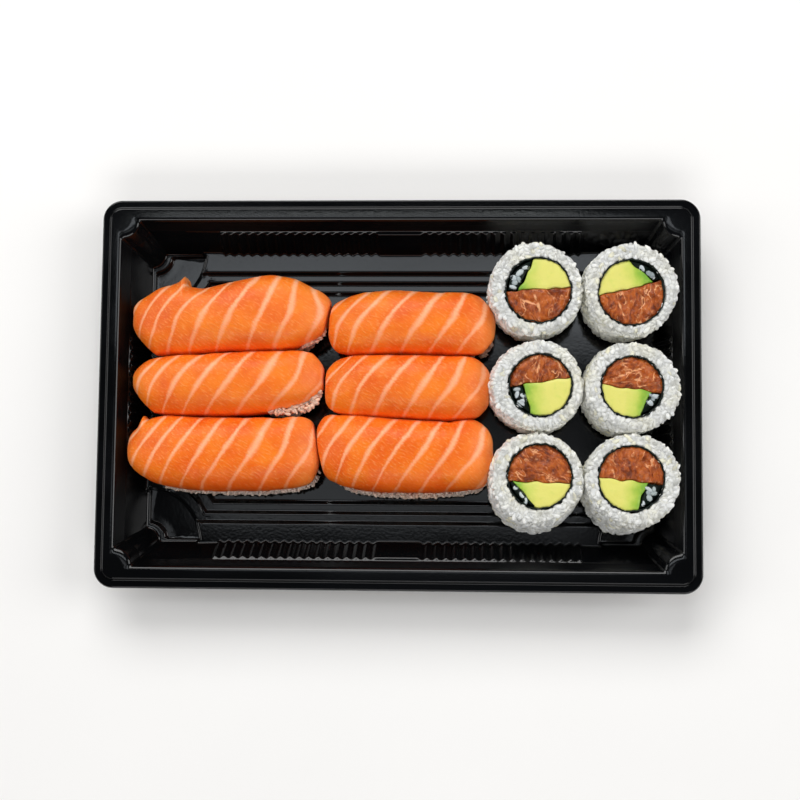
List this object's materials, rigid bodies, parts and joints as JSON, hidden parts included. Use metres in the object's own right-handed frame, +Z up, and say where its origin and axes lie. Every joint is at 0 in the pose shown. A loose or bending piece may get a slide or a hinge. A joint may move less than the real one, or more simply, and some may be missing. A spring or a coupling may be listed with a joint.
{
  "type": "takeaway sushi tray",
  "caption": "Rectangular black thermoformed takeaway tray holding salmon nigiri in rows and inside-out rolls with salmon and avocado.",
  "frame": {"origin": "middle of the tray's underside, on the surface it stands on", "axes": "+X along the tray towards the rolls, +Y across it towards the far long side, +Z up"},
  "size_m": [0.2282, 0.1484, 0.0312],
  "materials": {
    "black_plastic": "glossy",
    "salmon": "moist raw fish, slightly translucent",
    "rice": "cooked rice grains, slightly moist",
    "nori": "dark seaweed sheet",
    "tartare": "moist chopped salmon",
    "avocado": "smooth soft flesh"
  },
  "bodies": {
    "root": {"tray": "black_plastic", "nigiri_1_left_salmon": "salmon", "nigiri_1_left_rice": "rice", "nigiri_1_right_salmon": "salmon", "nigiri_1_right_rice": "rice", "nigiri_2_left_salmon": "salmon", "nigiri_2_left_rice": "rice", "nigiri_2_right_salmon": "salmon", "nigiri_2_right_rice": "rice", "nigiri_3_left_salmon": "salmon", "nigiri_3_left_rice": "rice", "nigiri_3_right_salmon": "salmon", "nigiri_3_right_rice": "rice", "roll_1_inner_rice": "rice", "roll_1_inner_nori": "nori", "roll_1_inner_salmon": "tartare", "roll_1_inner_avocado": "avocado", "roll_1_inner_inner_rice": "rice", "roll_1_outer_rice": "rice", "roll_1_outer_nori": "nori", "roll_1_outer_salmon": "tartare", "roll_1_outer_avocado": "avocado", "roll_1_outer_inner_rice": "rice", "roll_2_inner_rice": "rice", "roll_2_inner_nori": "nori", "roll_2_inner_salmon": "tartare", "roll_2_inner_avocado": "avocado", "roll_2_inner_inner_rice": "rice", "roll_2_outer_rice": "rice", "roll_2_outer_nori": "nori", "roll_2_outer_salmon": "tartare", "roll_2_outer_avocado": "avocado", "roll_2_outer_inner_rice": "rice", "roll_3_inner_rice": "rice", "roll_3_inner_nori": "nori", "roll_3_inner_salmon": "tartare", "roll_3_inner_avocado": "avocado", "roll_3_inner_inner_rice": "rice", "roll_3_outer_rice": "rice", "roll_3_outer_nori": "nori", "roll_3_outer_salmon": "tartare", "roll_3_outer_avocado": "avocado", "roll_3_outer_inner_rice": "rice"}
  },
  "joints": []
}
